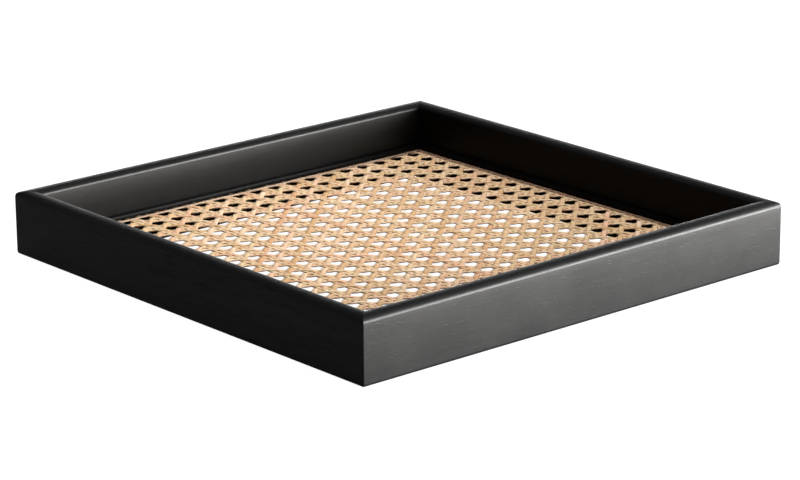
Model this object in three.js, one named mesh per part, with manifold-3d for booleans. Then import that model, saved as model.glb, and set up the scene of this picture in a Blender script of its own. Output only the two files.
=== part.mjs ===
// Square tray: four mitred rails of black-stained wood around a bottom of woven cane.
// Units are millimetres, +Z is up, and the origin is the middle of the underside.
// The cane lies on four ledges let into a rebate of the rails, and four beads hold its edge.

import * as THREE from 'three';
import { mergeVertices } from 'three/addons/utils/BufferGeometryUtils.js';
import Module from 'manifold-3d';

const wasm = await Module();
wasm.setup();

// Rails
const side = 305;
const railHeight = 37;
const railThickness = 10.8;
const topRoundOutside = 3.2;
const topRoundInside = 2.7;
const bottomRound = 2;
const cornerRound = 1.0;
const rebateDepth = 6.3;
const mitreGap = 0.3;

// Ledges under the cane
const ledgeWidth = 33.5;
const ledgeThickness = 5.2;
const ledgeRecess = 2.2;
const ledgeEdgeGap = 0.3;

// Cane webbing
const caneThickness = 2;
const canePitchX = 13.6;
const canePitchY = 12.73;
const caneShiftX = 6.9;
const caneShiftY = 6.9;
const caneHole = 7;
const caneHoleMargin = 5;
const caneEdgeGap = 0.3;

// Beads
const beadWidth = 2.8;
const beadHeight = 3.3;
const beadRound = 1.4;

// Splines in the mitres
const splineThickness = 3;
const splineReach = 6;
const splineHeight = 20;
const splineFloor = 10;
const splineFromCorner = 10.8;

// Screws through the ledges, countersunk
const screwLength = 15;
const screwDiameter = 2.6;
const screwHeadDiameter = 5;
const screwHeadHeight = 1.8;
const screwSink = 0.3;
const screwFromWindow = 27;

// Pins through the beads
const pinLength = 7.5;
const pinDiameter = 0.8;
const pinHeadDiameter = 1;
const pinHeadHeight = 0.4;
const pinSink = 0.4;
const pinFromWindow = 15;

// Gaps between pieces, and facets of round stretches
const seatGap = 0.15;
const clearance = 0.3;
const arcSteps = 6;
const turnSteps = 12;
const pinSteps = 8;

// Places that follow from the sizes above
const halfSide = side / 2;
const innerHalf = halfSide - railThickness;
const rebateHalf = innerHalf + rebateDepth;
const ledgeTop = ledgeRecess + ledgeThickness;
const rebateTop = ledgeTop + seatGap;
const ledgeOuter = rebateHalf - ledgeEdgeGap;
const windowHalf = ledgeOuter - ledgeWidth;
const caneFloor = ledgeTop + seatGap;
const caneTop = caneFloor + caneThickness;
const caneHalf = innerHalf - caneEdgeGap;
const beadFloor = caneTop + seatGap;
const beadTop = beadFloor + beadHeight;
const beadOuter = innerHalf - seatGap;
const screwLine = (innerHalf + ledgeOuter) / 2;
const screwPlaces = [-1, 1].map((end) => end * (windowHalf - screwFromWindow));
const pinLine = beadOuter - beadWidth / 2;
const pinPlaces = [-1, 0, 1].map((end) => end * (windowHalf - pinFromWindow));

// Finishes
const blackStain = { color: 0x1d1c1b, roughness: 0.45, metalness: 0 };
const caneSkin = { color: 0xd9b58c, roughness: 0.5, metalness: 0 };
const birchPly = { color: 0xcbae82, roughness: 0.7, metalness: 0 };
const zincSteel = { color: 0x9c9c98, roughness: 0.35, metalness: 1 };

// A closed solid for cutting, from any closed geometry
function solid(geometry) {
  const bare = geometry.clone();
  bare.deleteAttribute('normal');
  bare.deleteAttribute('uv');
  const merged = mergeVertices(bare, 1e-5);
  const vertProperties = new Float32Array(merged.attributes.position.array);
  const triVerts = new Uint32Array(merged.index.array);
  return new wasm.Manifold(new wasm.Mesh({ numProp: 3, vertProperties, triVerts }));
}

// The geometry of a solid, after cutting
function geometryOf(body) {
  const { vertProperties, triVerts } = body.getMesh();
  const geometry = new THREE.BufferGeometry();
  geometry.setAttribute('position', new THREE.BufferAttribute(vertProperties, 3));
  geometry.setIndex(new THREE.BufferAttribute(triVerts, 1));
  geometry.computeVertexNormals();
  return geometry;
}

function cut(geometry, cutters) {
  return geometryOf(cutters.reduce((body, cutter) => body.subtract(solid(cutter)), solid(geometry)));
}

function piece(name, geometry, finish) {
  const mesh = new THREE.Mesh(geometry, new THREE.MeshStandardMaterial(finish));
  mesh.name = name;
  return mesh;
}

// A bar along X with 45 degree ends, on the -Y side. The section is drawn with x as the depth
// inwards from the plane y = -reach, and y as the height. Each end stands endGap off its mitre.
function mitredBar(section, reach, endGap) {
  const geometry = new THREE.ExtrudeGeometry(section, {
    depth: 1, steps: 1, bevelEnabled: false, curveSegments: arcSteps,
  });
  const at = geometry.attributes.position;
  for (let i = 0; i < at.count; i += 1) {
    const depth = at.getX(i);
    const height = at.getY(i);
    const end = at.getZ(i) > 0.5 ? 1 : -1;
    at.setXYZ(i, end * (reach - depth - endGap), depth - reach, height);
  }
  return geometry;
}

function roundedSquare(half, radius) {
  const outline = new THREE.Shape();
  const flat = half - radius;
  outline.absarc(flat, flat, radius, 0, Math.PI / 2);
  outline.absarc(-flat, flat, radius, Math.PI / 2, Math.PI);
  outline.absarc(-flat, -flat, radius, Math.PI, 1.5 * Math.PI);
  outline.absarc(flat, -flat, radius, 1.5 * Math.PI, 2 * Math.PI);
  return outline;
}

// A bar lying along X between two heights and two lines of Y
function plank(length, yLow, yHigh, zLow, zHigh) {
  const geometry = new THREE.BoxGeometry(length, yHigh - yLow, zHigh - zLow);
  return geometry.translate(0, (yLow + yHigh) / 2, (zLow + zHigh) / 2);
}

// A turned piece standing on Z, from its outline of [radius, height] points
function turned(points, steps) {
  const outline = points.map(([radius, height]) => new THREE.Vector2(radius, height));
  return new THREE.LatheGeometry(outline, steps).rotateX(Math.PI / 2);
}

// Screw, head down: the head's flat is sunk into the underside of the ledge
function screw(extra) {
  const headRadius = screwHeadDiameter / 2 + extra;
  const shankRadius = screwDiameter / 2 + extra;
  const floor = ledgeRecess + screwSink;
  const shoulder = floor + screwHeadHeight;
  const tip = floor + screwLength + extra;
  const mouth = extra > 0 ? ledgeRecess - clearance : floor;
  return turned([
    [0, mouth], [headRadius, mouth], [headRadius, floor],
    [shankRadius, shoulder], [shankRadius, tip - shankRadius], [0, tip],
  ], turnSteps);
}

// Pin, head up: driven through the bead and the cane into the ledge
function pin(extra) {
  const headRadius = pinHeadDiameter / 2 + extra;
  const shankRadius = pinDiameter / 2 + extra;
  const crown = beadTop - pinSink;
  const neck = crown - pinHeadHeight - extra;
  const tip = crown - pinLength - extra;
  const mouth = extra > 0 ? beadTop + clearance : crown;
  return turned([
    [0, tip], [shankRadius, tip + shankRadius], [shankRadius, neck],
    [headRadius, neck], [headRadius, mouth], [0, mouth],
  ], pinSteps);
}

// Spline, or its slot: a flat tongue square to the mitre at the left end of a side
function spline(extra) {
  const cornerPoint = splineFromCorner / Math.SQRT2 - halfSide;
  const geometry = new THREE.BoxGeometry(
    2 * (splineReach + extra), splineThickness + 2 * extra, splineHeight + 2 * extra,
  );
  return geometry.rotateZ(-Math.PI / 4).translate(cornerPoint, cornerPoint, splineFloor + splineHeight / 2);
}

function railSection() {
  const section = new THREE.Shape();
  section.moveTo(railThickness - rebateDepth, 0);
  section.lineTo(railThickness - rebateDepth, rebateTop);
  section.lineTo(railThickness, rebateTop);
  section.absarc(
    railThickness - topRoundInside, railHeight - topRoundInside, topRoundInside, 0, Math.PI / 2,
  );
  section.absarc(topRoundOutside, railHeight - topRoundOutside, topRoundOutside, Math.PI / 2, Math.PI);
  section.absarc(bottomRound, bottomRound, bottomRound, Math.PI, 1.5 * Math.PI);
  return section;
}

function rail() {
  const bar = solid(mitredBar(railSection(), halfSide, mitreGap / Math.SQRT2));
  const envelope = new THREE.ExtrudeGeometry(roundedSquare(halfSide, cornerRound), {
    depth: railHeight + 2 * clearance, bevelEnabled: false, curveSegments: arcSteps,
  }).translate(0, 0, -clearance);
  const leftSlot = spline(clearance);
  const rightSlot = leftSlot.clone().rotateZ(Math.PI / 2);
  const pilots = screwPlaces.map((x) => screw(clearance).translate(x, -screwLine, 0));
  return cut(geometryOf(bar.intersect(solid(envelope))), [leftSlot, rightSlot, ...pilots]);
}

function ledge(length) {
  const strip = plank(length, -ledgeOuter, -windowHalf, ledgeRecess, ledgeTop);
  const sinks = screwPlaces.map((x) => screw(clearance).translate(x, -screwLine, 0));
  const pilots = pinPlaces.map((x) => pin(clearance).translate(x, -pinLine, 0));
  return cut(strip, [...sinks, ...pilots]);
}

function beadSection() {
  const section = new THREE.Shape();
  section.moveTo(0, beadFloor);
  section.absarc(beadWidth - beadRound, beadFloor + beadRound, beadRound, -Math.PI / 2, 0);
  section.absarc(beadWidth - beadRound, beadTop - beadRound, beadRound, 0, Math.PI / 2);
  section.lineTo(0, beadTop);
  return section;
}

function bead() {
  const strip = mitredBar(beadSection(), beadOuter, mitreGap / Math.SQRT2);
  return cut(strip, pinPlaces.map((x) => pin(clearance).translate(x, -pinLine, 0)));
}

// A closed loop of points around a centre, as a hole in the cane
function loop(x, y, radius, steps) {
  const hole = new THREE.Path();
  hole.setFromPoints(Array.from({ length: steps }, (_, i) => {
    const angle = -2 * Math.PI * (i + 0.5) / steps;
    return new THREE.Vector2(x + radius * Math.cos(angle), y + radius * Math.sin(angle));
  }));
  return hole;
}

// Centres of the holes along one direction, as far as they clear the ledges
function holeCentres(pitch, shift) {
  const limit = windowHalf - caneHoleMargin - caneHole / 2;
  const first = Math.ceil((-limit - shift) / pitch);
  const last = Math.floor((limit - shift) / pitch);
  return Array.from({ length: last - first + 1 }, (_, i) => shift + (first + i) * pitch);
}

// The webbing as a flat net of eight-sided holes, with a close edge over the ledges
function caneNet() {
  const sheet = new THREE.Shape([[-1, -1], [1, -1], [1, 1], [-1, 1]].map(
    ([x, y]) => new THREE.Vector2(x * caneHalf, y * caneHalf),
  ));
  const holeRadius = caneHole / 2 / Math.cos(Math.PI / 8);
  const pinHoleRadius = pinDiameter / 2 + clearance;
  holeCentres(canePitchX, caneShiftX).forEach((x) => {
    holeCentres(canePitchY, caneShiftY).forEach((y) => sheet.holes.push(loop(x, y, holeRadius, 8)));
  });
  pinPlaces.forEach((along) => {
    [-pinLine, pinLine].forEach((across) => {
      sheet.holes.push(loop(along, across, pinHoleRadius, pinSteps));
      sheet.holes.push(loop(across, along, pinHoleRadius, pinSteps));
    });
  });
  const net = new THREE.ExtrudeGeometry(sheet, { depth: caneThickness, bevelEnabled: false });
  return net.translate(0, 0, caneFloor);
}

// Assembly: each side is made at the front and turned about Z to its place
const tray = new THREE.Group();
const longLedge = 2 * ledgeOuter;
const shortLedge = 2 * (windowHalf - ledgeEdgeGap);
const sides = [
  { name: 'front', corner: 'front_left', ledgeLength: longLedge },
  { name: 'right', corner: 'front_right', ledgeLength: shortLedge },
  { name: 'back', corner: 'back_right', ledgeLength: longLedge },
  { name: 'left', corner: 'back_left', ledgeLength: shortLedge },
];

sides.forEach(({ name, corner, ledgeLength }, quarter) => {
  const group = new THREE.Group();
  group.rotation.z = quarter * Math.PI / 2;
  group.add(piece(`rail_${name}`, rail(), blackStain));
  group.add(piece(`spline_${corner}`, spline(0), birchPly));
  group.add(piece(`ledge_${name}`, ledge(ledgeLength), blackStain));
  group.add(piece(`bead_${name}`, bead(), blackStain));
  screwPlaces.forEach((x, i) => {
    const mesh = piece(`screw_${name}_${i + 1}`, screw(0), zincSteel);
    mesh.position.set(x, -screwLine, 0);
    group.add(mesh);
  });
  pinPlaces.forEach((x, i) => {
    const mesh = piece(`pin_${name}_${i + 1}`, pin(0), zincSteel);
    mesh.position.set(x, -pinLine, 0);
    group.add(mesh);
  });
  tray.add(group);
});

tray.add(piece('cane_webbing', caneNet(), caneSkin));

export default tray;
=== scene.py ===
"""Looks of a square tray: rails of black-stained wood round a bottom of open woven cane.

Lengths are in metres. Each side is made at the front (-Y) and turned about Z to its place.
"""

import math

import bmesh
import bpy
from mathutils import Matrix, Vector


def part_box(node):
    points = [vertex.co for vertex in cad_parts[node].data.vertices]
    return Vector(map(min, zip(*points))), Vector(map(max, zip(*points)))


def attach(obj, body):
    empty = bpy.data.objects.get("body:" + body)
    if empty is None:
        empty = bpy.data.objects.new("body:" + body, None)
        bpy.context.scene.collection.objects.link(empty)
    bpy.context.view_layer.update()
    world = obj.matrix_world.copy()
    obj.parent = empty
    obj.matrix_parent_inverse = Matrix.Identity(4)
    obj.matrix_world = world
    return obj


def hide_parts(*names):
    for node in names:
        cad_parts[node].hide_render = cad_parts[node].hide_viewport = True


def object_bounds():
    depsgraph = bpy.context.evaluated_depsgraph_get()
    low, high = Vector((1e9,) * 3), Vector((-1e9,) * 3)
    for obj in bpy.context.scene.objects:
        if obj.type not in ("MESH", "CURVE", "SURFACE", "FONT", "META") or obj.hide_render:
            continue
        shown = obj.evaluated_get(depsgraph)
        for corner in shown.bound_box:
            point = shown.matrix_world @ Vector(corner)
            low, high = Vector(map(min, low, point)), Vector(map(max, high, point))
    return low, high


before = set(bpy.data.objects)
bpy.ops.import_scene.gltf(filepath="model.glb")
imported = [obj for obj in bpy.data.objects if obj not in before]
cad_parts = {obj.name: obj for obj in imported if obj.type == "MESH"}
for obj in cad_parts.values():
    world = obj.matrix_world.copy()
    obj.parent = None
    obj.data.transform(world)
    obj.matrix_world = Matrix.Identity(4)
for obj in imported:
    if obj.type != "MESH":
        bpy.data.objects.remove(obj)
cad_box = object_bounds()

MM = 0.001
SIDES = ("front", "right", "back", "left")
CORNERS = ("front_left", "front_right", "back_right", "back_left")

# Places read from the frame
half_side = cad_box[1].x
rail_height = cad_box[1].z
rail_low, rail_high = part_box("rail_front")
ledge_low, ledge_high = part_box("ledge_front")
short_ledge_low, short_ledge_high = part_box("ledge_right")
bead_low, bead_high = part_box("bead_front")
cane_low, cane_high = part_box("cane_webbing")
screw_low, screw_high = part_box("screw_front_1")
pin_low, pin_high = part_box("pin_front_1")
rail_thickness = rail_high.y - rail_low.y
inner_half = half_side - rail_thickness
screw_line = -(screw_low.y + screw_high.y) / 2
screw_place = -(screw_low.x + screw_high.x) / 2
pin_line = -(pin_low.y + pin_high.y) / 2
pin_place = -(pin_low.x + pin_high.x) / 2

# Wood sections and joints
TOP_ROUND_OUTSIDE = 3.2 * MM
TOP_ROUND_INSIDE = 2.7 * MM
# Tilt of the rail's crowned top where it meets a rounded edge, in degrees
CROWN_TILT = 9
BOTTOM_ROUND = 2 * MM
CORNER_ROUND = 1 * MM
REBATE_DEPTH = 6.3 * MM
REBATE_GAP = 0.15 * MM
WALL_FOOT_EASE = 0.3 * MM
BEAD_ROUND = 1.4 * MM
LEDGE_EASE = 0.5 * MM
MITRE_GAP = 0.04 * MM
WELD_REACH = 0.004 * MM
SPLINE_REACH = 6 * MM
SPLINE_THICKNESS = 3 * MM
SPLINE_CLEARANCE = 0.1 * MM
# Parts that a rounded top edge, a smaller rounded edge and an eased edge are drawn in
ROUND_STEPS = 10
SMALL_ROUND_STEPS = 6
EASE_STEPS = 3
# Angles from the mitre to the face where an upright corner is drawn, in degrees
CORNER_TURNS = (45, 36, 27, 18, 9)
HALF_BAR_PARTS = 6
# Distance from the middle of a rounded edge at which its wear ends, as a share of the radius
WEAR_REACH = 0.8

# Fasteners
SCREW_HEAD = 5 * MM
SCREW_SHANK = 2.6 * MM
SCREW_HEAD_HEIGHT = 1.8 * MM
SCREW_NOSE = 1.4 * MM
NOSE_SHARE = 0.55
SCREW_POINT = 3 * MM
THREAD_PITCH = 1.1 * MM
THREAD_DEPTH = 0.25 * MM
# Share of the shank that has a thread, and where a thread's foot and crest lie in its pitch
THREADED_SHARE = 0.7
THREAD_FOOT = 0.3
THREAD_CREST = 0.65
CROSS_LENGTH = 2.9 * MM
CROSS_WIDTH = 0.75 * MM
CROSS_DEPTH = 1.2 * MM
PIN_SHANK = 0.8 * MM
PIN_HEAD = 1.0 * MM
PIN_HEAD_HEIGHT = 0.4 * MM
PIN_NECK = 0.1 * MM
PIN_EASE = 0.08 * MM
BORE_CLEARANCE = 0.12 * MM
# Flats round a screw, round a pin's bore and round a pin
SCREW_STEPS = 24
PIN_BORE_STEPS = 12
PIN_STEPS = 16
SCREWS_PER_SIDE = 2
PINS_PER_SIDE = 3
SCREW_SEED = 3
PIN_SEED = 7

# Weave of the cane, in its own lattice of holes
WEAVE_PITCH = Vector((13.596 * MM, 12.729 * MM, 0))
WEAVE_ORIGIN = Vector((6.894 * MM, 7.375 * MM, (cane_low.z + cane_high.z) / 2 + 0.1 * MM))
WEAVE_SLANT = -0.011
WEAVE_REACH = inner_half - 1.5 * MM
STRAND_WIDTH = 2.75 * MM
STRAND_THICKNESS = 0.8 * MM
RISING_WIDTH = 3.1 * MM
# Height where a strand's round section is cut flat, with 1 for its top
STRAND_FLAT = -0.4
STRAND_STEP = 0.55 * MM
FALLING_STEP = 0.32 * MM
WAVE_SOFTNESS = 0.2
PAIR_ROLL = 0.34 * MM
PAIR_HALF_GAP = 1.32 * MM
EDGE_STRAND = 138 * MM
# A strand this near the border of the weave, in cells, is left out
SPAN_MARGIN = 0.1
# Least and greatest share of its size that a strand has
THINNEST_STRAND = 0.92
THICKEST_STRAND = 1.08
STRAND_SAMPLE = 1.15 * MM
STRAND_WANDER = 2.2 * MM
# How fast the wandering changes along a strand, from strand to strand and between families
WANDER_PACE = (0.45, 3.7, 5.1)
# How much of it goes along X, Y and Z
WANDER_SHARES = (1, 1, 0.04)
# Strands are numbered on from here in the next family
FAMILY_STEP = 100

# Studio
FLOOR_REACH = 6
FLOOR_GAP = 0.1 * MM
FLOOR_GLOW = 0.98
WORLD_LIGHT = 0.07

# Camera of the photograph
IMAGE_WIDTH = 800
FOCAL_PIXELS = 3236.6
SENSOR_WIDTH = 36
CAMERA_AZIMUTH = math.radians(-40.682)
CAMERA_ELEVATION = math.radians(17.141)
CAMERA_ROLL = math.radians(-0.4545)
CAMERA_DISTANCE = 1.8585
CAMERA_TARGET = Vector((25.97 * MM, 26.04 * MM, 0))


def linear(code):
    """An sRGB hex colour as linear red, green, blue and alpha."""
    shares = [int(code[i:i + 2], 16) / 255 for i in (1, 3, 5)]
    return [s / 12.92 if s <= 0.04045 else ((s + 0.055) / 1.055) ** 2.4 for s in shares] + [1.0]


def add(tree, kind, links=None, out=None, **settings):
    """Adds a node with its settings; links name an input, or its number, and a value or a socket."""
    node = tree.nodes.new(kind)
    for name, value in settings.items():
        setattr(node, name, value)
    for key, value in (links or {}).items():
        named = (s for s in node.inputs if s.enabled and s.name == key)
        socket = node.inputs[key] if isinstance(key, int) else next(named)
        if isinstance(value, bpy.types.NodeSocket):
            tree.links.new(value, socket)
        else:
            socket.default_value = value
    if out:
        return node.outputs[out]
    return next((s for s in node.outputs if s.enabled), node)


def new_finish(name):
    """A material with an empty node tree, and that tree."""
    finish = bpy.data.materials.new(name)
    finish.use_nodes = True
    finish.node_tree.nodes.clear()
    return finish, finish.node_tree


# Finishes

def black_stained_wood(name, turn, shine, edge_shine):
    """Close-grained hardwood under black stain and a thin satin lacquer, faintly warm.

    It is a neutral near black with a broad soft sheen. Long fine pores darken it, and short flecks
    where the lacquer bridges a pore are raised a little and painted lighter, a painted glint. The inner
    edge of a rail is rubbed smoother and shines more, and the stain is a little thin there. turn lays
    the grain along the piece. shine and edge_shine are the gloss of its faces and of that edge:
    lacquer over grain shines most when it is seen across the grain, and the copies along Y are given
    less shine still, as painted shade on the sides that face away from the lamps.
    """
    finish, tree = new_finish(name)
    place = add(tree, "ShaderNodeTexCoord", out="Object")
    grain = add(tree, "ShaderNodeMapping", {"Vector": place, "Rotation": (0, 0, turn)})
    # Growth rings 5 mm apart and 90 mm long
    rings = add(tree, "ShaderNodeMapping", {"Vector": grain, "Scale": (1 / 0.09, 1 / 0.005, 1 / 0.005)})
    figure = add(tree, "ShaderNodeTexNoise", {"Vector": rings, "Scale": 1, "Detail": 3})
    # Pores 14 mm long, drawn 0.6 mm wide where real ones have 0.15 mm, so that they show
    vessels = add(tree, "ShaderNodeMapping", {"Vector": grain, "Scale": (1 / 0.014, 1 / 0.0006, 1 / 0.0006)})
    streaks = add(tree, "ShaderNodeTexNoise", {"Vector": vessels, "Scale": 1, "Detail": 2})
    pores = add(tree, "ShaderNodeMapRange", {"Value": streaks, "From Min": 0.56, "From Max": 0.74})
    # Flecks 4 mm long, drawn 0.8 mm wide where real ones have 0.3 mm
    short = add(tree, "ShaderNodeMapping", {"Vector": grain, "Scale": (1 / 0.004, 1 / 0.0008, 1 / 0.0008)})
    dashes = add(tree, "ShaderNodeTexNoise", {"Vector": short, "Scale": 1, "Detail": 1})
    flecks = add(tree, "ShaderNodeMapRange", {"Value": dashes, "From Min": 0.64, "From Max": 0.76})
    # Unevenness of the lacquer over 18 mm, and specks of 1.2 mm
    cloud = add(tree, "ShaderNodeTexNoise", {"Vector": place, "Scale": 1 / 0.018, "Detail": 2})
    specks = add(tree, "ShaderNodeTexNoise", {"Vector": place, "Scale": 1 / 0.0012, "Detail": 1})

    stain = add(tree, "ShaderNodeMix", {"Factor": figure, "A": linear("#0b0b0c"), "B": linear("#141414")},
                data_type="RGBA")
    dark = add(tree, "ShaderNodeMix", {"Factor": pores, "A": stain, "B": linear("#070707")}, data_type="RGBA")
    # Painted glint: the flecks are painted lighter, standing in for light caught at the pores' edges
    lit = add(tree, "ShaderNodeMath", {0: flecks, 1: 0.05}, operation="MULTIPLY")
    glint_flecked = add(tree, "ShaderNodeMix", {"Factor": lit, "A": dark, "B": linear("#3e3e3d")}, data_type="RGBA")
    edge = add(tree, "ShaderNodeAttribute", out="Fac", attribute_name="edge")
    patchy = add(tree, "ShaderNodeMath", {0: edge, 1: cloud}, operation="MULTIPLY")
    rubbed = add(tree, "ShaderNodeMapRange", {"Value": patchy, "From Min": 0.42, "From Max": 0.75,
                                              "To Max": 0.12})
    colour = add(tree, "ShaderNodeMix", {"Factor": rubbed, "A": glint_flecked, "B": linear("#3a3735")},
                 data_type="RGBA")

    dull = add(tree, "ShaderNodeMath", {0: pores, 1: 0.04, 2: 0.37}, operation="MULTIPLY_ADD")
    uneven = add(tree, "ShaderNodeMath", {0: cloud, 1: 0.12, 2: dull}, operation="MULTIPLY_ADD")
    rough = add(tree, "ShaderNodeMix", {"Factor": edge, "A": uneven, "B": 0.27})
    raised = add(tree, "ShaderNodeMath", {0: specks, 1: 0.25, 2: flecks}, operation="MULTIPLY_ADD")
    hollows = add(tree, "ShaderNodeMath", {0: pores, 1: -0.4, 2: raised}, operation="MULTIPLY_ADD")
    ripple = add(tree, "ShaderNodeBump", {"Height": figure, "Strength": 0.15, "Distance": 0.0003})
    normal = add(tree, "ShaderNodeBump", {"Height": hollows, "Strength": 0.3, "Distance": 0.00008,
                                          "Normal": ripple})
    gloss = add(tree, "ShaderNodeMapRange", {"Value": edge, "To Min": shine, "To Max": edge_shine})
    surface = add(tree, "ShaderNodeBsdfPrincipled", {
        "Base Color": colour, "Roughness": rough, "Normal": normal, "Specular IOR Level": gloss,
        "Specular Tint": linear("#fffdf8"), "IOR": 1.5})
    add(tree, "ShaderNodeOutputMaterial", {"Surface": surface})
    return finish


def rattan_cane():
    """Strands split from the skin of rattan palm: straw to honey, each strand its own tone.

    The skin is smooth and a little glossy, with fine fibres along the strand, and its edges are painted
    browner as shade where strands meet.
    """
    finish, tree = new_finish("rattan_cane_skin")
    along = add(tree, "ShaderNodeAttribute", out="Fac", attribute_name="along")
    across = add(tree, "ShaderNodeAttribute", out="Fac", attribute_name="across")
    strand = add(tree, "ShaderNodeAttribute", out="Fac", attribute_name="strand")
    tone = add(tree, "ShaderNodeTexWhiteNoise", {"W": strand}, out="Value", noise_dimensions="1D")
    other = add(tree, "ShaderNodeMath", {0: strand, 1: 0.37}, operation="ADD")
    blush = add(tree, "ShaderNodeTexWhiteNoise", {"W": other}, out="Value", noise_dimensions="1D")
    # Fibres a twelfth of the strand wide and 30 mm long, and clouds of colour 45 mm long
    fibre_place = add(tree, "ShaderNodeCombineXYZ", {"X": along, "Y": across, "Z": strand})
    fibre_scale = add(tree, "ShaderNodeMapping", {"Vector": fibre_place, "Scale": (1 / 0.03, 6, 5.3)})
    fibres = add(tree, "ShaderNodeTexNoise", {"Vector": fibre_scale, "Scale": 1, "Detail": 2})
    cloud_scale = add(tree, "ShaderNodeMapping", {"Vector": fibre_place, "Scale": (1 / 0.045, 0.3, 3.1)})
    clouds = add(tree, "ShaderNodeTexNoise", {"Vector": cloud_scale, "Scale": 1, "Detail": 2})

    mixed = add(tree, "ShaderNodeMath", {0: clouds, 1: 0.9, 2: tone}, operation="MULTIPLY_ADD")
    honeyed = add(tree, "ShaderNodeMapRange", {"Value": mixed, "From Min": 0.35, "From Max": 1.15})
    straw = add(tree, "ShaderNodeMix", {"Factor": honeyed, "A": linear("#d2bda5"), "B": linear("#ba9b76")},
                data_type="RGBA")
    pinked = add(tree, "ShaderNodeMapRange", {"Value": blush, "From Min": 0.5, "From Max": 1, "To Max": 0.75})
    pink = add(tree, "ShaderNodeMix", {"Factor": pinked, "A": straw, "B": linear("#c79b84")},
               data_type="RGBA")
    greened = add(tree, "ShaderNodeMapRange", {"Value": blush, "From Min": 0.45, "From Max": 0,
                                               "To Max": 0.7})
    skin = add(tree, "ShaderNodeMix", {"Factor": greened, "A": pink, "B": linear("#b9a681")},
               data_type="RGBA")
    # About one strand in eight is much browner
    rare = add(tree, "ShaderNodeMath", {0: strand, 1: 0.61}, operation="ADD")
    chance = add(tree, "ShaderNodeTexWhiteNoise", {"W": rare}, out="Value", noise_dimensions="1D")
    browned = add(tree, "ShaderNodeMapRange", {"Value": chance, "From Min": 0.84, "From Max": 0.92,
                                               "To Max": 0.6})
    tinted = add(tree, "ShaderNodeMix", {"Factor": browned, "A": skin, "B": linear("#a37448")},
                 data_type="RGBA")
    lines = add(tree, "ShaderNodeMapRange", {"Value": fibres, "From Min": 0.5, "From Max": 0.75,
                                             "To Max": 0.4})
    lined = add(tree, "ShaderNodeMix", {"Factor": lines, "A": tinted, "B": linear("#a07a52")},
                data_type="RGBA")
    # Painted shade: the strand's edges are painted browner, standing in for the shade between neighbouring
    # strands
    offset = add(tree, "ShaderNodeMath", {0: across}, operation="ABSOLUTE")
    painted_edge_shade = add(tree, "ShaderNodeMapRange", {"Value": offset, "From Min": 0.72, "From Max": 1,
                                                "To Max": 0.8})
    edge_shaded = add(tree, "ShaderNodeMix", {"Factor": painted_edge_shade, "A": lined, "B": linear("#7a5533")},
                data_type="RGBA")
    # Painted shade: a strand is painted browner where it dips under another, standing in for the shade there
    dips = add(tree, "ShaderNodeAttribute", out="Fac", attribute_name="sunk")
    painted_dip_shade = add(tree, "ShaderNodeMapRange", {"Value": dips, "From Min": 0.3, "From Max": 1.1, "To Max": 0.7})
    colour = add(tree, "ShaderNodeMix", {"Factor": painted_dip_shade, "A": edge_shaded, "B": linear("#7c5533")},
                 data_type="RGBA")
    rough = add(tree, "ShaderNodeMath", {0: fibres, 1: 0.25, 2: 0.3}, operation="MULTIPLY_ADD")
    normal = add(tree, "ShaderNodeBump", {"Height": fibres, "Strength": 0.35, "Distance": 0.0001})
    surface = add(tree, "ShaderNodeBsdfPrincipled", {
        "Base Color": colour, "Roughness": rough, "Normal": normal, "Specular IOR Level": 0.45, "IOR": 1.5})
    add(tree, "ShaderNodeOutputMaterial", {"Surface": surface})
    return finish


def birch_plywood():
    """Thin birch plywood, sanded: pale wood with darker glue lines across it."""
    finish, tree = new_finish("birch_plywood")
    place = add(tree, "ShaderNodeTexCoord", out="Object")
    layers = add(tree, "ShaderNodeTexWave",
                 {"Vector": place, "Scale": 49.736, "Distortion": 0.4, "Detail": 1},
                 out="Fac", bands_direction="DIAGONAL")
    fibres = add(tree, "ShaderNodeTexNoise", {"Vector": place, "Scale": 1 / 0.0008, "Detail": 2})
    pale = add(tree, "ShaderNodeMix", {"Factor": fibres, "A": linear("#d9c19a"), "B": linear("#c3a477")},
               data_type="RGBA")
    glue = add(tree, "ShaderNodeMapRange", {"Value": layers, "From Min": 0.86, "From Max": 1, "To Max": 0.7})
    colour = add(tree, "ShaderNodeMix", {"Factor": glue, "A": pale, "B": linear("#7d5c3a")},
                 data_type="RGBA")
    normal = add(tree, "ShaderNodeBump", {"Height": fibres, "Strength": 0.2, "Distance": 0.0001})
    surface = add(tree, "ShaderNodeBsdfPrincipled", {
        "Base Color": colour, "Normal": normal, "Roughness": 0.7, "Specular IOR Level": 0.3})
    add(tree, "ShaderNodeOutputMaterial", {"Surface": surface})
    return finish


def zinc_plated_steel():
    """Steel with bright zinc plate: grey metal, faintly blue, clouded where it was barrel plated."""
    finish, tree = new_finish("zinc_plated_steel")
    place = add(tree, "ShaderNodeTexCoord", out="Object")
    clouds = add(tree, "ShaderNodeTexNoise", {"Vector": place, "Scale": 1 / 0.0012, "Detail": 3})
    colour = add(tree, "ShaderNodeMix", {"Factor": clouds, "A": linear("#b9bcbe"), "B": linear("#8d8f8e")},
                 data_type="RGBA")
    rough = add(tree, "ShaderNodeMath", {0: clouds, 1: 0.3, 2: 0.2}, operation="MULTIPLY_ADD")
    normal = add(tree, "ShaderNodeBump", {"Height": clouds, "Strength": 0.15, "Distance": 0.00005})
    surface = add(tree, "ShaderNodeBsdfPrincipled", {
        "Base Color": colour, "Roughness": rough, "Normal": normal, "Metallic": 1.0})
    add(tree, "ShaderNodeOutputMaterial", {"Surface": surface})
    return finish


# Meshes of the wood

def arc(x, y, radius, start, end, steps):
    """Points of a circle's stretch, with angles in degrees."""
    angles = [math.radians(start + (end - start) * i / steps) for i in range(steps + 1)]
    return [(x + radius * math.cos(a), y + radius * math.sin(a)) for a in angles]


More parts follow.
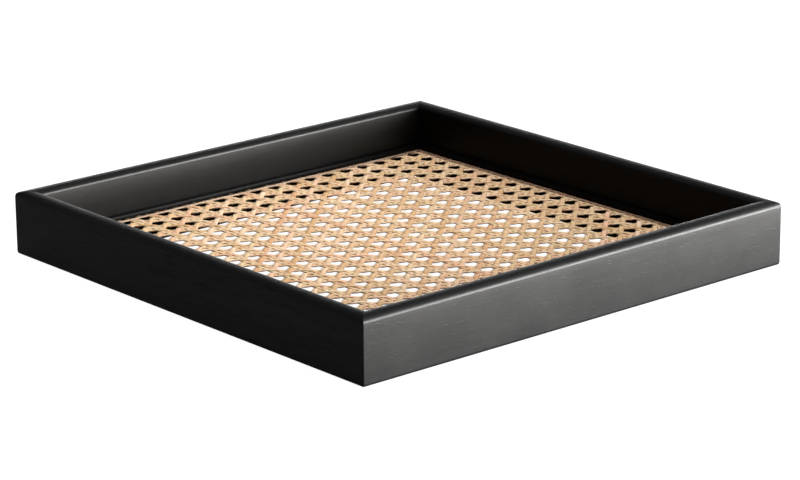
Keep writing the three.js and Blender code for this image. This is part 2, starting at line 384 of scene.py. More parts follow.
def rail_section():
    """Depth inwards from the outer face, and height, round the rail's section."""
    foot = ledge_high.z + REBATE_GAP
    depth = rail_thickness
    section = [(depth - REBATE_DEPTH, 0), (depth - REBATE_DEPTH, foot)]
    section += arc(depth - WALL_FOOT_EASE, foot + WALL_FOOT_EASE, WALL_FOOT_EASE, -90, 0, EASE_STEPS)
    section += [(depth, rail_height - 2 * TOP_ROUND_INSIDE)]
    # The top is sanded to a low crown that runs over into the two rounded edges
    sine, cosine = math.sin(math.radians(CROWN_TILT)), math.cos(math.radians(CROWN_TILT))
    crown = (depth - (TOP_ROUND_INSIDE + TOP_ROUND_OUTSIDE) * (1 - sine)) / (2 * sine)
    centre = rail_height - crown
    middle = TOP_ROUND_OUTSIDE + (crown - TOP_ROUND_OUTSIDE) * sine
    section += arc(depth - TOP_ROUND_INSIDE, centre + (crown - TOP_ROUND_INSIDE) * cosine,
                   TOP_ROUND_INSIDE, 0, 90 - CROWN_TILT, ROUND_STEPS)
    section += arc(middle, centre, crown, 90 - CROWN_TILT, 90 + CROWN_TILT, ROUND_STEPS)[1:-1]
    section += arc(TOP_ROUND_OUTSIDE, centre + (crown - TOP_ROUND_OUTSIDE) * cosine,
                   TOP_ROUND_OUTSIDE, 90 + CROWN_TILT, 180, ROUND_STEPS)
    section += [(0, rail_height - 2 * TOP_ROUND_OUTSIDE)]
    section += arc(BOTTOM_ROUND, BOTTOM_ROUND, BOTTOM_ROUND, 180, 270, SMALL_ROUND_STEPS)
    return section


def bead_section():
    """Depth inwards from the wall, and height, round the bead's section."""
    width, low, high = bead_high.y - bead_low.y, bead_low.z, bead_high.z
    section = [(0, low)]
    section += arc(width - BEAD_ROUND, low + BEAD_ROUND, BEAD_ROUND, -90, 0, SMALL_ROUND_STEPS)
    section += arc(width - BEAD_ROUND, high - BEAD_ROUND, BEAD_ROUND, 0, 90, SMALL_ROUND_STEPS)
    return section + [(0, high)]


def mitred_bar(section, reach, corner_round):
    """A bar along X at the front whose ends are cut at 45 degrees, with rounded upright corners."""
    # Stations round the left corner, along the bar and round the right corner
    turns = [math.radians(a) for a in CORNER_TURNS]
    lengths = [(i / HALF_BAR_PARTS, 0) for i in range(-HALF_BAR_PARTS, HALF_BAR_PARTS + 1)]
    stations = [(-1, a) for a in turns] + lengths + [(1, a) for a in turns[::-1]]
    body = bmesh.new()
    loops = []
    for along, turn in stations:
        loop = []
        for depth, height in section:
            radius = max(corner_round - depth, 0)
            flat = reach - depth - radius
            if turn:
                x = along * (flat + radius * math.sin(turn) - MITRE_GAP)
                y = -(flat + radius * math.cos(turn))
            else:
                x = along * (flat - MITRE_GAP * abs(along))
                y = -(reach - depth)
            loop.append(body.verts.new((x, y, height)))
        loops.append(loop)
    count = len(section)
    for one, two in zip(loops, loops[1:]):
        for i in range(count):
            j = (i + 1) % count
            body.faces.new((one[i], one[j], two[j], two[i]))
    body.faces.new(loops[0])
    body.faces.new(loops[-1][::-1])
    bmesh.ops.remove_doubles(body, verts=body.verts, dist=WELD_REACH)
    bmesh.ops.dissolve_degenerate(body, edges=body.edges, dist=WELD_REACH)
    return finished_mesh(body)


def finished_mesh(body):
    """A mesh with its faces outwards, from a closed body."""
    bmesh.ops.recalc_face_normals(body, faces=body.faces)
    mesh = bpy.data.meshes.new("made")
    body.to_mesh(mesh)
    body.free()
    return mesh


def block(low, high, ease=0):
    """A block between two corners, with its edges eased round."""
    body = bmesh.new()
    middle = (Vector(low) + Vector(high)) / 2
    bmesh.ops.create_cube(body, size=1)
    bmesh.ops.scale(body, vec=Vector(high) - Vector(low), verts=body.verts)
    bmesh.ops.translate(body, vec=middle, verts=body.verts)
    if ease:
        bmesh.ops.bevel(body, geom=body.edges, offset=ease, segments=EASE_STEPS, profile=0.5, affect="EDGES")
    return finished_mesh(body)


def turned(outline, steps):
    """A turned body standing on Z, from [radius, height] points that start and end on the axis."""
    body = bmesh.new()
    rings = []
    for radius, height in outline:
        angles = [2 * math.pi * i / steps for i in range(steps if radius else 1)]
        rings.append([body.verts.new((radius * math.cos(a), radius * math.sin(a), height)) for a in angles])
    for one, two in zip(rings, rings[1:]):
        for i in range(steps):
            j = (i + 1) % steps
            corners = [one[i % len(one)], one[j % len(one)], two[j % len(two)], two[i % len(two)]]
            body.faces.new(list(dict.fromkeys(corners)))
    return finished_mesh(body)


def link(name, mesh):
    """An object of this mesh in the scene."""
    made = bpy.data.objects.new(name, mesh)
    bpy.context.scene.collection.objects.link(made)
    return made


def evaluated_mesh(made):
    """The object's mesh with its modifiers worked in; the object is then gone."""
    depsgraph = bpy.context.evaluated_depsgraph_get()
    mesh = bpy.data.meshes.new_from_object(
        made.evaluated_get(depsgraph), preserve_all_data_layers=True, depsgraph=depsgraph)
    bpy.data.objects.remove(made)
    return mesh


def carved(mesh, cutters):
    """The mesh with each cutter taken out of it."""
    body = link("body", mesh)
    tools = [link("cutter", cutter) for cutter in cutters]
    for tool in tools:
        cut = body.modifiers.new("cut", "BOOLEAN")
        cut.operation = "DIFFERENCE"
        cut.solver = "EXACT"
        cut.object = tool
    result = evaluated_mesh(body)
    for tool in tools:
        bpy.data.objects.remove(tool)
    return result


def smoothed(mesh, angle=32):
    """Shades the mesh smooth, except over edges sharper than the angle."""
    mesh.shade_smooth()
    mesh.set_sharp_from_angle(angle=math.radians(angle))
    return mesh


def spline_slots():
    """The two slots that a front rail has for the splines in its mitres."""
    low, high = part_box("spline_front_left")
    reach, half = SPLINE_REACH + SPLINE_CLEARANCE, SPLINE_THICKNESS / 2 + SPLINE_CLEARANCE
    corner = (low.x + high.x) / 2
    slots = []
    for end in (1, -1):
        slot = block((-reach, -half, low.z - SPLINE_CLEARANCE), (reach, half, high.z + SPLINE_CLEARANCE))
        turn = Matrix.Rotation(end * -math.pi / 4, 4, "Z")
        slot.transform(Matrix.Translation((end * corner, corner, 0)) @ turn)
        slots.append(slot)
    return slots


def screw_outline(extra):
    """Outline of a countersunk screw, head down, from its tip to the middle of its head."""
    floor, tip = screw_low.z, screw_high.z + extra
    head, shank = SCREW_HEAD / 2 + extra, SCREW_SHANK / 2 + extra
    outline = [(0, tip), (shank * NOSE_SHARE, tip - SCREW_NOSE), (shank, tip - SCREW_POINT)]
    outline += [(shank, floor + SCREW_HEAD_HEIGHT), (head, floor + extra)]
    if extra:
        return outline + [(head, ledge_low.z - LEDGE_EASE), (0, ledge_low.z - LEDGE_EASE)]
    return outline + [(head, floor), (0, floor)]


def pin_bore():
    """A bore round a pin, a little wider and longer than the pin."""
    radius, tip = PIN_SHANK / 2 + BORE_CLEARANCE, pin_low.z - BORE_CLEARANCE
    top = pin_high.z + BORE_CLEARANCE
    return turned([(0, tip), (radius, tip), (radius, top), (0, top)], PIN_BORE_STEPS)


def moved(mesh, x, y):
    """The mesh itself, moved level."""
    mesh.transform(Matrix.Translation((x, y, 0)))
    return mesh


def screw_bores():
    """The two bores that a front rail and its ledge have for the screws."""
    outline = screw_outline(BORE_CLEARANCE)
    return [moved(turned(outline, SCREW_STEPS), end * screw_place, -screw_line) for end in (-1, 1)]


def pin_bores():
    """The three bores that a front bead and its ledge have for the pins."""
    return [moved(pin_bore(), end * pin_place, -pin_line) for end in (-1, 0, 1)]


def nearness(depth, fall, radius):
    """1 in the middle of a rounded edge, and 0 from about where the rounding ends."""
    inset = radius * (1 - math.sqrt(0.5))
    return max(0, 1 - math.hypot(depth - inset, fall - inset) / (WEAR_REACH * radius))


def mark_edges(mesh):
    """Stores how much each point of a front rail is rubbed: on the edge inside, where the tray is held."""
    edge = mesh.attributes.new("edge", "FLOAT", "POINT")
    for vertex, mark in zip(mesh.vertices, edge.data):
        depth = half_side + vertex.co.y
        fall = rail_height - vertex.co.z
        mark.value = nearness(rail_thickness - depth, fall, TOP_ROUND_INSIDE)


def stained_pieces(wood, bead_wood):
    """Rails, ledges and beads, each made at the front and turned to its side."""
    rail = carved(mitred_bar(rail_section(), half_side, CORNER_ROUND), spline_slots() + screw_bores())
    bead = carved(mitred_bar(bead_section(), -bead_low.y, 0), pin_bores())
    long_ledge = block(ledge_low, ledge_high, LEDGE_EASE)
    turn_back = Matrix.Rotation(-math.pi / 2, 4, "Z")
    corners = [turn_back @ short_ledge_low, turn_back @ short_ledge_high]
    short_low = [min(c[i] for c in corners) for i in range(3)]
    short_high = [max(c[i] for c in corners) for i in range(3)]
    short_ledge = block(short_low, short_high, LEDGE_EASE)
    ledges = [carved(mesh, screw_bores() + pin_bores()) for mesh in (long_ledge, short_ledge)]
    mark_edges(rail)
    for quarter, side in enumerate(SIDES):
        turn = Matrix.Rotation(quarter * math.pi / 2, 4, "Z")
        way = quarter % 2
        for kind, mesh, finish in (("rail", rail, wood[way]), ("ledge", ledges[way], wood[way]),
                                   ("bead", bead, bead_wood[way])):
            own = smoothed(mesh.copy())
            own.transform(turn)
            dress(f"stained_{kind}_{side}", own, finish, [f"{kind}_{side}"])


def dress(name, mesh, finish, nodes):
    """A finished piece that rides on the tray and stands for its nodes."""
    made = link(name, mesh)
    if finish:
        mesh.materials.clear()
        mesh.materials.append(finish)
    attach(made, "root")
    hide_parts(*nodes)


# Trees of nodes for what repeats

def tree_with_inputs(name, inputs):
    """A Geometry Nodes tree with named inputs; gives the tree and its input sockets by name."""
    tree = bpy.data.node_groups.new(name, "GeometryNodeTree")
    for label, kind in inputs.items():
        tree.interface.new_socket(label, in_out="INPUT", socket_type=f"NodeSocket{kind}")
    tree.interface.new_socket("Geometry", in_out="OUTPUT", socket_type="NodeSocketGeometry")
    return tree, tree.nodes.new("NodeGroupInput").outputs


def grown(name, tree, values):
    """The plain mesh that a tree makes from these values of its inputs."""
    made = link(name, bpy.data.meshes.new(name))
    modifier = made.modifiers.new("grow", "NODES")
    modifier.node_group = tree
    for item in tree.interface.items_tree:
        if item.in_out == "INPUT":
            modifier[item.identifier] = values[item.name]
    return evaluated_mesh(made)


def strand_tree():
    """Strands on parallel lines of the weave's lattice, which rise and dip where they cross others.

    A strand runs from its start, Shift plus its number times Step, along Run, as far as Low and High.
    """
    tree, given = tree_with_inputs("cane strands", {
        "Strands": "Int", "First": "Float", "Step": "Vector", "Shift": "Vector", "Run": "Vector",
        "Low": "Vector", "High": "Vector", "Origin": "Vector", "Pitch": "Vector", "Slant": "Float",
        "Level": "Float", "Lift": "Float", "Roll": "Float", "Width": "Float", "Thickness": "Float",
        "Sample": "Float", "Wander": "Float", "Seed": "Int", "Finish": "Material"})
    line = add(tree, "GeometryNodeCurvePrimitiveLine", {"End": (1, 0, 0)})
    copies = add(tree, "GeometryNodeDuplicateElements", {"Geometry": line, "Amount": given["Strands"]},
                 domain="SPLINE")
    number = add(tree, "ShaderNodeMath", {0: copies.node.outputs["Duplicate Index"], 1: given["First"]})
    numbered = add(tree, "GeometryNodeStoreNamedAttribute",
                   {"Geometry": copies, "Name": "number", "Value": number}, domain="CURVE", data_type="FLOAT")
    number = add(tree, "GeometryNodeInputNamedAttribute", {"Name": "number"}, data_type="FLOAT")

    # Where the strand enters and leaves the square
    stride = add(tree, "ShaderNodeVectorMath", {"Vector": given["Step"], "Scale": number}, operation="SCALE")
    start = add(tree, "ShaderNodeVectorMath", {0: given["Shift"], 1: stride})
    limits = []
    for bound in ("Low", "High"):
        gap = add(tree, "ShaderNodeVectorMath", {0: given[bound], 1: start}, operation="SUBTRACT")
        limits.append(add(tree, "ShaderNodeVectorMath", {0: gap, 1: given["Run"]}, operation="DIVIDE"))
    near = add(tree, "ShaderNodeVectorMath", {0: limits[0], 1: limits[1]}, operation="MINIMUM")
    far = add(tree, "ShaderNodeVectorMath", {0: limits[0], 1: limits[1]}, operation="MAXIMUM")
    near_parts = add(tree, "ShaderNodeSeparateXYZ", {0: near}).node.outputs
    far_parts = add(tree, "ShaderNodeSeparateXYZ", {0: far}).node.outputs
    enter = add(tree, "ShaderNodeMath", {0: near_parts["X"], 1: near_parts["Y"]}, operation="MAXIMUM")
    leave = add(tree, "ShaderNodeMath", {0: far_parts["X"], 1: far_parts["Y"]}, operation="MINIMUM")
    share = add(tree, "GeometryNodeSplineParameter", out="Factor")
    reached = add(tree, "ShaderNodeMix", {"Factor": share, "A": enter, "B": leave})
    path = add(tree, "ShaderNodeVectorMath", {0: given["Run"], 1: reached, 2: start},
               operation="MULTIPLY_ADD")
    flat = add(tree, "ShaderNodeVectorMath", {0: path, 1: given["Pitch"], 2: given["Origin"]},
               operation="MULTIPLY_ADD")
    laid = add(tree, "GeometryNodeSetPosition", {"Geometry": numbered, "Position": flat})
    fine = add(tree, "GeometryNodeResampleCurve", {"Curve": laid, "Length": given["Sample"]}, mode="LENGTH")

    # Rise and dip: a wave with flattened tops, one for each cell of the lattice
    angle = add(tree, "ShaderNodeMath", {0: reached, 1: 2 * math.pi}, operation="MULTIPLY")
    wave = add(tree, "ShaderNodeMath", {0: angle}, operation="COSINE")
    squared = add(tree, "ShaderNodeMath", {0: wave, 1: wave, 2: WAVE_SOFTNESS}, operation="MULTIPLY_ADD")
    size = add(tree, "ShaderNodeMath", {0: squared}, operation="SQRT")
    flattened = add(tree, "ShaderNodeMath", {0: wave, 1: size}, operation="DIVIDE")
    lifted = add(tree, "ShaderNodeMath", {0: flattened, 1: given["Lift"], 2: given["Level"]},
                 operation="MULTIPLY_ADD")
    # Roll: where two pairs cross, a strand goes over one of the other pair and under the next
    twice = add(tree, "ShaderNodeMath", {0: angle, 1: -2.0}, operation="MULTIPLY")
    weaving = add(tree, "ShaderNodeMath", {0: twice}, operation="SINE")
    crossing = add(tree, "ShaderNodeMapRange", {"Value": wave, "From Min": 1, "From Max": -1})
    swing = add(tree, "ShaderNodeMath", {0: weaving, 1: crossing}, operation="MULTIPLY")
    height = add(tree, "ShaderNodeMath", {0: swing, 1: given["Roll"], 2: lifted}, operation="MULTIPLY_ADD")

    # Slant of the whole sheet, and each strand's own small wandering over some two cells
    place = add(tree, "ShaderNodeSeparateXYZ", {0: flat}).node.outputs
    slanted = add(tree, "ShaderNodeMath", {0: place["X"], 1: given["Slant"]}, operation="MULTIPLY")
    spot = add(tree, "ShaderNodeCombineXYZ", {"X": reached, "Y": number, "Z": given["Seed"]})
    spread = add(tree, "ShaderNodeVectorMath", {0: spot, 1: WANDER_PACE}, operation="MULTIPLY")
    noise = add(tree, "ShaderNodeTexNoise", {"Vector": spread, "Scale": 1, "Detail": 1}, out="Color")
    centred = add(tree, "ShaderNodeVectorMath", {0: noise, 1: (0.5, 0.5, 0.5)}, operation="SUBTRACT")
    limp = add(tree, "ShaderNodeVectorMath", {0: centred, 1: WANDER_SHARES}, operation="MULTIPLY")
    wander = add(tree, "ShaderNodeVectorMath", {"Vector": limp, "Scale": given["Wander"]}, operation="SCALE")
    lift = add(tree, "ShaderNodeCombineXYZ", {"Y": slanted, "Z": height})
    offset = add(tree, "ShaderNodeVectorMath", {0: lift, 1: wander})
    woven = add(tree, "GeometryNodeSetPosition", {"Geometry": fine, "Offset": offset})

    run_length = add(tree, "GeometryNodeSplineParameter", out="Length")
    marked = add(tree, "GeometryNodeStoreNamedAttribute",
                 {"Geometry": woven, "Name": "along", "Value": run_length}, domain="POINT", data_type="FLOAT")
    family = add(tree, "ShaderNodeMath", {0: given["Seed"], 1: FAMILY_STEP, 2: number},
                 operation="MULTIPLY_ADD")
    named = add(tree, "GeometryNodeStoreNamedAttribute",
                {"Geometry": marked, "Name": "strand", "Value": family}, domain="POINT", data_type="FLOAT")
    # How far the strand dips, which the cane's finish paints as shade
    sunk = add(tree, "ShaderNodeMapRange", {"Value": height, "From Max": -STRAND_STEP})
    shaded = add(tree, "GeometryNodeStoreNamedAttribute", {"Geometry": named, "Name": "sunk", "Value": sunk},
                 domain="POINT", data_type="FLOAT")
    girth = add(tree, "FunctionNodeRandomValue",
                {"Min": THINNEST_STRAND, "Max": THICKEST_STRAND, "ID": number, "Seed": given["Seed"]},
                data_type="FLOAT")
    sized = add(tree, "GeometryNodeSetCurveRadius", {"Curve": shaded, "Radius": girth})
    level = add(tree, "GeometryNodeSetCurveNormal", {"Curve": sized}, mode="Z_UP")

    # Section of a strand: flat below, rounded above
    ring = add(tree, "GeometryNodeCurvePrimitiveCircle", {"Resolution": 8, "Radius": 1.0})
    point = add(tree, "GeometryNodeInputPosition")
    parts = add(tree, "ShaderNodeSeparateXYZ", {0: point}).node.outputs
    sided = add(tree, "GeometryNodeStoreNamedAttribute",
                {"Geometry": ring, "Name": "across", "Value": parts["X"]}, domain="POINT", data_type="FLOAT")
    floored = add(tree, "ShaderNodeMath", {0: parts["Y"], 1: STRAND_FLAT}, operation="MAXIMUM")
    rise = add(tree, "ShaderNodeMapRange", {"Value": floored, "From Min": STRAND_FLAT, "From Max": 1,
                                            "To Min": -0.5, "To Max": 0.5})
    unit = add(tree, "ShaderNodeCombineXYZ", {"X": parts["X"], "Y": rise})
    half_width = add(tree, "ShaderNodeMath", {0: given["Width"], 1: 0.5}, operation="MULTIPLY")
    stretch = add(tree, "ShaderNodeCombineXYZ", {"X": half_width, "Y": given["Thickness"]})
    shape = add(tree, "ShaderNodeVectorMath", {0: unit, 1: stretch}, operation="MULTIPLY")
    section = add(tree, "GeometryNodeSetPosition", {"Geometry": sided, "Position": shape})

    swept = add(tree, "GeometryNodeCurveToMesh",
                {"Curve": level, "Profile Curve": section, "Fill Caps": True})
    smooth = add(tree, "GeometryNodeSetShadeSmooth", {"Geometry": swept})
    whole = add(tree, "GeometryNodeRealizeInstances", {"Geometry": smooth})
    dressed = add(tree, "GeometryNodeSetMaterial", {"Geometry": whole, "Material": given["Finish"]})
    add(tree, "NodeGroupOutput", {"Geometry": dressed})
    return tree


def cane_weave(finish):
    """Six families of strands, two along the tray, two across it and two on the diagonals.

    Two single strands more lie along the foot of the back and the right wall.
    """
    tree = strand_tree()
    low = [(-WEAVE_REACH - WEAVE_ORIGIN[i]) / WEAVE_PITCH[i] for i in (0, 1)]
    high = [(WEAVE_REACH - WEAVE_ORIGIN[i]) / WEAVE_PITCH[i] for i in (0, 1)]
    pair = [PAIR_HALF_GAP / WEAVE_PITCH[i] for i in (0, 1)]
    back_edge = (EDGE_STRAND - WEAVE_ORIGIN.y) / WEAVE_PITCH.y
    right_edge = (EDGE_STRAND - WEAVE_ORIGIN.x) / WEAVE_PITCH.x
    # A run along one axis goes a trace along the other, because the tree divides by it
    still = 1e-4
    families = {
        "cane_warp_left": dict(Run=(still, 1, 1), Step=(1, 0, 0), Shift=(0.5 - pair[0], 0, 0),
                               Roll=PAIR_ROLL, spans=(low[0], high[0])),
        "cane_warp_right": dict(Run=(still, 1, 1), Step=(1, 0, 0), Shift=(0.5 + pair[0], 0, 0),
                                Roll=-PAIR_ROLL, spans=(low[0], high[0])),
        "cane_weft_near": dict(Run=(1, still, 1), Step=(0, 1, 0), Shift=(0, 0.5 - pair[1], 0),
                               Roll=-PAIR_ROLL, spans=(low[1], high[1])),
        "cane_weft_far": dict(Run=(1, still, 1), Step=(0, 1, 0), Shift=(0, 0.5 + pair[1], 0),
                              Roll=PAIR_ROLL, spans=(low[1], high[1])),
        "cane_rising": dict(Run=(1, 1, 1), Step=(1, 0, 0), Shift=(0.5, 0, 0), Width=RISING_WIDTH,
                            Lift=-STRAND_STEP, spans=(low[0] - high[1], high[0] - low[1])),
        "cane_falling": dict(Run=(-1, 1, 1), Step=(1, 0, 0), Shift=(0.5, 0, 0),
                             Lift=FALLING_STEP, spans=(low[0] + low[1], high[0] + high[1])),
        "cane_edge_strand": dict(Run=(1, still, 1), Step=(0, 0, 0), Shift=(0, back_edge, 0),
                                 Level=STRAND_STEP, Slant=0, spans=(back_edge - 0.5, back_edge + 0.5)),
        "cane_end_strand": dict(Run=(still, 1, 1), Step=(0, 0, 0), Shift=(right_edge, 0, 0),
                                Level=STRAND_STEP, Slant=0, spans=(right_edge - 0.5, right_edge + 0.5)),
    }
    for seed, (name, family) in enumerate(families.items(), 1):
        near, far = family.pop("spans")
        offset = max(family["Shift"])
        first = math.ceil(near - offset + SPAN_MARGIN)
        last = math.floor(far - offset - SPAN_MARGIN)
        common = dict(
            Strands=last - first + 1, First=float(first), Low=(*low, 0), High=(*high, 0),
            Origin=tuple(WEAVE_ORIGIN), Pitch=tuple(WEAVE_PITCH), Slant=WEAVE_SLANT, Width=STRAND_WIDTH,
            Level=0.0, Lift=0.0, Roll=0.0, Thickness=STRAND_THICKNESS, Sample=STRAND_SAMPLE,
            Wander=STRAND_WANDER, Seed=seed, Finish=finish)
        family = {key: tuple(map(float, value)) if isinstance(value, tuple) else float(value)
                  for key, value in family.items()}
        dress(name, grown(name, tree, common | family), None, ["cane_webbing"])


def fastener_tree():
    """A fastener set several times along each of the four sides, each turned by chance."""
    tree, given = tree_with_inputs("fasteners on four sides", {
        "Fastener": "Object", "Per Side": "Int", "Line": "Float", "Place": "Float", "Seed": "Int",
        "Finish": "Material"})
    count = add(tree, "ShaderNodeMath", {0: given["Per Side"], 1: len(SIDES)}, operation="MULTIPLY")
    points = add(tree, "GeometryNodePoints", {"Count": count})
    index = add(tree, "GeometryNodeInputIndex")
    shared = add(tree, "ShaderNodeMath", {0: index, 1: given["Per Side"]}, operation="DIVIDE")
    side = add(tree, "ShaderNodeMath", {0: shared}, operation="FLOOR")
    turn = add(tree, "ShaderNodeMath", {0: side, 1: math.pi / 2}, operation="MULTIPLY")
    order = add(tree, "ShaderNodeMath", {0: index, 1: given["Per Side"]}, operation="MODULO")
    last = add(tree, "ShaderNodeMath", {0: given["Per Side"], 1: 1}, operation="SUBTRACT")
    share = add(tree, "ShaderNodeMath", {0: order, 1: last}, operation="DIVIDE")
    signed = add(tree, "ShaderNodeMath", {0: share, 1: 2, 2: -1}, operation="MULTIPLY_ADD")
    along = add(tree, "ShaderNodeMath", {0: signed, 1: given["Place"]}, operation="MULTIPLY")
    across = add(tree, "ShaderNodeMath", {0: given["Line"], 1: -1}, operation="MULTIPLY")
    front = add(tree, "ShaderNodeCombineXYZ", {"X": along, "Y": across})
    place = add(tree, "ShaderNodeVectorRotate", {"Vector": front, "Angle": turn}, rotation_type="Z_AXIS")
    spots = add(tree, "GeometryNodeSetPosition", {"Geometry": points, "Position": place})
    twist = add(tree, "FunctionNodeRandomValue", {"Max": 2 * math.pi, "ID": index, "Seed": given["Seed"]},
                data_type="FLOAT")
    facing = add(tree, "FunctionNodeAxisAngleToRotation", {"Axis": (0, 0, 1), "Angle": twist})
    shape = add(tree, "GeometryNodeObjectInfo", {"Object": given["Fastener"]}, out="Geometry")
    copies = add(tree, "GeometryNodeInstanceOnPoints",
                 {"Points": spots, "Instance": shape, "Rotation": facing})
    whole = add(tree, "GeometryNodeRealizeInstances", {"Geometry": copies})
    dressed = add(tree, "GeometryNodeSetMaterial", {"Geometry": whole, "Material": given["Finish"]})
    add(tree, "NodeGroupOutput", {"Geometry": dressed})
    return tree


def screw_mesh():
    """A countersunk wood screw, head down, with a thread and a cross recess."""
    outline = screw_outline(0)
    tip, shoulder = outline[2][1], outline[3][1]
    ridges = []
    turns = int((tip - shoulder) * THREADED_SHARE / THREAD_PITCH)
    for i in range(turns):
        height = tip - i * THREAD_PITCH
        ridges += [(SCREW_SHANK / 2 - THREAD_DEPTH, height - THREAD_FOOT * THREAD_PITCH),
                   (SCREW_SHANK / 2, height - THREAD_CREST * THREAD_PITCH),
                   (SCREW_SHANK / 2 - THREAD_DEPTH, height - THREAD_PITCH)]
    body = turned(outline[:2] + [(SCREW_SHANK / 2 - THREAD_DEPTH, tip)] + ridges + outline[3:], SCREW_STEPS)
    middle = Vector((0, 0, screw_low.z))
    bars = []
    for length, width in ((CROSS_LENGTH, CROSS_WIDTH), (CROSS_WIDTH, CROSS_LENGTH)):
        half = Vector((length / 2, width / 2, CROSS_DEPTH))
        bars.append(block(middle - half, middle + half))
    return smoothed(carved(body, bars))


def pin_mesh():
    """A headed pin, head up, with a tapered point."""
    tip, crown = pin_low.z, pin_high.z
    shank, head = PIN_SHANK / 2, PIN_HEAD / 2
    neck = crown - PIN_HEAD_HEIGHT
    outline = [(0, tip), (shank, tip + 2 * shank), (shank, neck - PIN_NECK), (head, neck)]
    outline += [(head, crown - PIN_EASE), (head - PIN_EASE, crown), (0, crown)]
    return smoothed(turned(outline, PIN_STEPS))


def fasteners(finish):
    """The screws under the ledges and the pins in the beads, each kind one piece."""
    tree = fastener_tree()
    kinds = (("screw", screw_mesh(), SCREWS_PER_SIDE, screw_line, screw_place, SCREW_SEED),
             ("pin", pin_mesh(), PINS_PER_SIDE, pin_line, pin_place, PIN_SEED))
    for kind, mesh, per_side, line, place, seed in kinds:
        pattern = link(f"{kind}_pattern", mesh)
        pattern.hide_render = True
        made = grown(f"{kind}s", tree, {"Fastener": pattern, "Per Side": per_side, "Line": line,
                                        "Place": place, "Seed": seed, "Finish": finish})
        bpy.data.objects.remove(pattern)
        nodes = [f"{kind}_{side}_{i + 1}" for side in SIDES for i in range(per_side)]
        dress(f"plated_{kind}s", made, None, nodes)


# Stage, light and camera

def studio_floor():
    """A pale floor: to the camera a white ground with a faint soft shadow, to the object a plain grey one."""
    finish, tree = new_finish("white_studio_floor")
    rays = add(tree, "ShaderNodeLightPath").node.outputs
    seen = add(tree, "ShaderNodeMath", {0: rays["Is Camera Ray"], 1: rays["Is Transmission Ray"]},
               operation="MAXIMUM")
    ground = add(tree, "ShaderNodeBsdfDiffuse", {"Color": linear("#747371")})
    glow = add(tree, "ShaderNodeEmission", {"Color": (1, 1, 1, 1), "Strength": FLOOR_GLOW})
    shade = add(tree, "ShaderNodeBsdfDiffuse", {"Color": linear("#5c5b5a")})
    white = add(tree, "ShaderNodeAddShader", {0: glow, 1: shade})
    surface = add(tree, "ShaderNodeMixShader", {0: seen, 1: ground, 2: white})
    add(tree, "ShaderNodeOutputMaterial", {"Surface": surface})
    body = bmesh.new()
    bmesh.ops.create_grid(body, x_segments=1, y_segments=1, size=FLOOR_REACH)
    floor = link("studio_floor", finished_mesh(body))
    floor.data.materials.append(finish)
    floor.location.z = -FLOOR_GAP


def studio_world():
    """White to the camera, and a dim even grey as light."""
    world = bpy.data.worlds.new("white_studio")
    world.use_nodes = True
    tree = world.node_tree
    tree.nodes.clear()
    rays = add(tree, "ShaderNodeLightPath").node.outputs
    seen = add(tree, "ShaderNodeMath", {0: rays["Is Camera Ray"], 1: rays["Is Transmission Ray"]},
               operation="MAXIMUM")
    strength = add(tree, "ShaderNodeMapRange", {"Value": seen, "To Min": WORLD_LIGHT, "To Max": 1.0})
    white = add(tree, "ShaderNodeBackground", {"Color": (1, 1, 1, 1), "Strength": strength})
    add(tree, "ShaderNodeOutputWorld", {"Surface": white})
    bpy.context.scene.world = world


def softbox(name, place, aim, width, height, power, glint=True):
    """A soft lamp that the camera doesn't see; without glint the pieces don't mirror it either."""
    data = bpy.data.lights.new(name, "AREA")
    data.shape = "RECTANGLE"
    data.size = width
    data.size_y = height
    data.energy = power
    lamp = bpy.data.objects.new(name, data)
    bpy.context.scene.collection.objects.link(lamp)
    lamp.location = place
    lamp.rotation_euler = (Vector(aim) - Vector(place)).to_track_quat("-Z", "Y").to_euler()
    lamp.visible_camera = False
    lamp.visible_glossy = glint


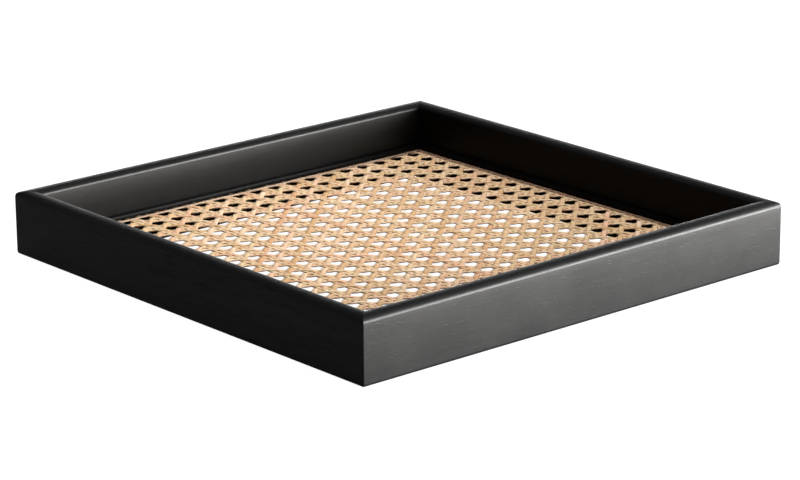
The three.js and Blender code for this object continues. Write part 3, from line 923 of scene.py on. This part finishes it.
def studio_light():
    """Light from above on the cane, panels that the wood mirrors, and fills from the front and left.

    Each lamp has its place, aim, width and height in metres, and its power in watts.
    """
    centre = (0, 0, 0.02)
    softbox("overhead_softbox", (0.1, 0.05, 1.3), centre, 1.0, 1.0, 5, glint=False)
    softbox("key_softbox", (0.42, 0.4, 1.2), centre, 0.22, 0.22, 22.5, glint=False)
    softbox("front_softbox", (0.5, -1.1, 0.5), centre, 0.8, 0.4, 6, glint=False)
    softbox("front_panel", (0.8, -0.95, 0.2), (0.0, -0.1, 0.02), 1.3, 0.34, 61)
    softbox("low_panel", (0.76, -0.97, 0.05), (0.0, -0.15, 0.02), 1.3, 0.08, 75)
    softbox("left_fill", (-1.1, 0.5, 0.03), (-0.15, 0, 0.02), 0.8, 0.05, 16, glint=False)
    softbox("back_panel", (0.75, 1.0, 0.12), centre, 1.2, 0.16, 3.2)


def photo_camera():
    """The camera that was fitted to the photograph's edges."""
    azimuth, elevation, roll = CAMERA_AZIMUTH, CAMERA_ELEVATION, CAMERA_ROLL
    back = Vector((math.sin(azimuth) * math.cos(elevation), -math.cos(azimuth) * math.cos(elevation),
                   math.sin(elevation)))
    level = Vector((0, 0, 1)).cross(back).normalized()
    upright = back.cross(level)
    right = level * math.cos(roll) + upright * math.sin(roll)
    up = upright * math.cos(roll) - level * math.sin(roll)
    data = bpy.data.cameras.new("photo_camera")
    data.sensor_fit = "HORIZONTAL"
    data.sensor_width = SENSOR_WIDTH
    data.lens = FOCAL_PIXELS * SENSOR_WIDTH / IMAGE_WIDTH
    data.clip_start = 0.05
    data.clip_end = 30
    camera = bpy.data.objects.new("photo_camera", data)
    bpy.context.scene.collection.objects.link(camera)
    turn = Matrix((right, up, back)).transposed().to_4x4()
    camera.matrix_world = Matrix.Translation(CAMERA_TARGET + back * CAMERA_DISTANCE) @ turn
    bpy.context.scene.camera = camera


photo_camera()
studio_world()
studio_floor()
studio_light()

# The copies along Y get less shine than those along X, partly lacquer seen along the grain and partly painted
# shade on the sides that face away from the lamps
rail_woods = [black_stained_wood("black_stained_wood_along_x", 0, shine=0.12, edge_shine=0.28),
              black_stained_wood("black_stained_wood_along_y", math.pi / 2, shine=0.03, edge_shine=0.08)]
bead_woods = [black_stained_wood("black_stained_bead_along_x", 0, shine=0.07, edge_shine=0.07),
              black_stained_wood("black_stained_bead_along_y", math.pi / 2, shine=0.03, edge_shine=0.03)]
stained_pieces(rail_woods, bead_woods)
cane_weave(rattan_cane())
fasteners(zinc_plated_steel())
plywood = birch_plywood()
for corner_name in CORNERS:
    for material_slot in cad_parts[f"spline_{corner_name}"].material_slots:
        material_slot.material = plywood

bpy.context.scene.view_settings.view_transform = "Standard"
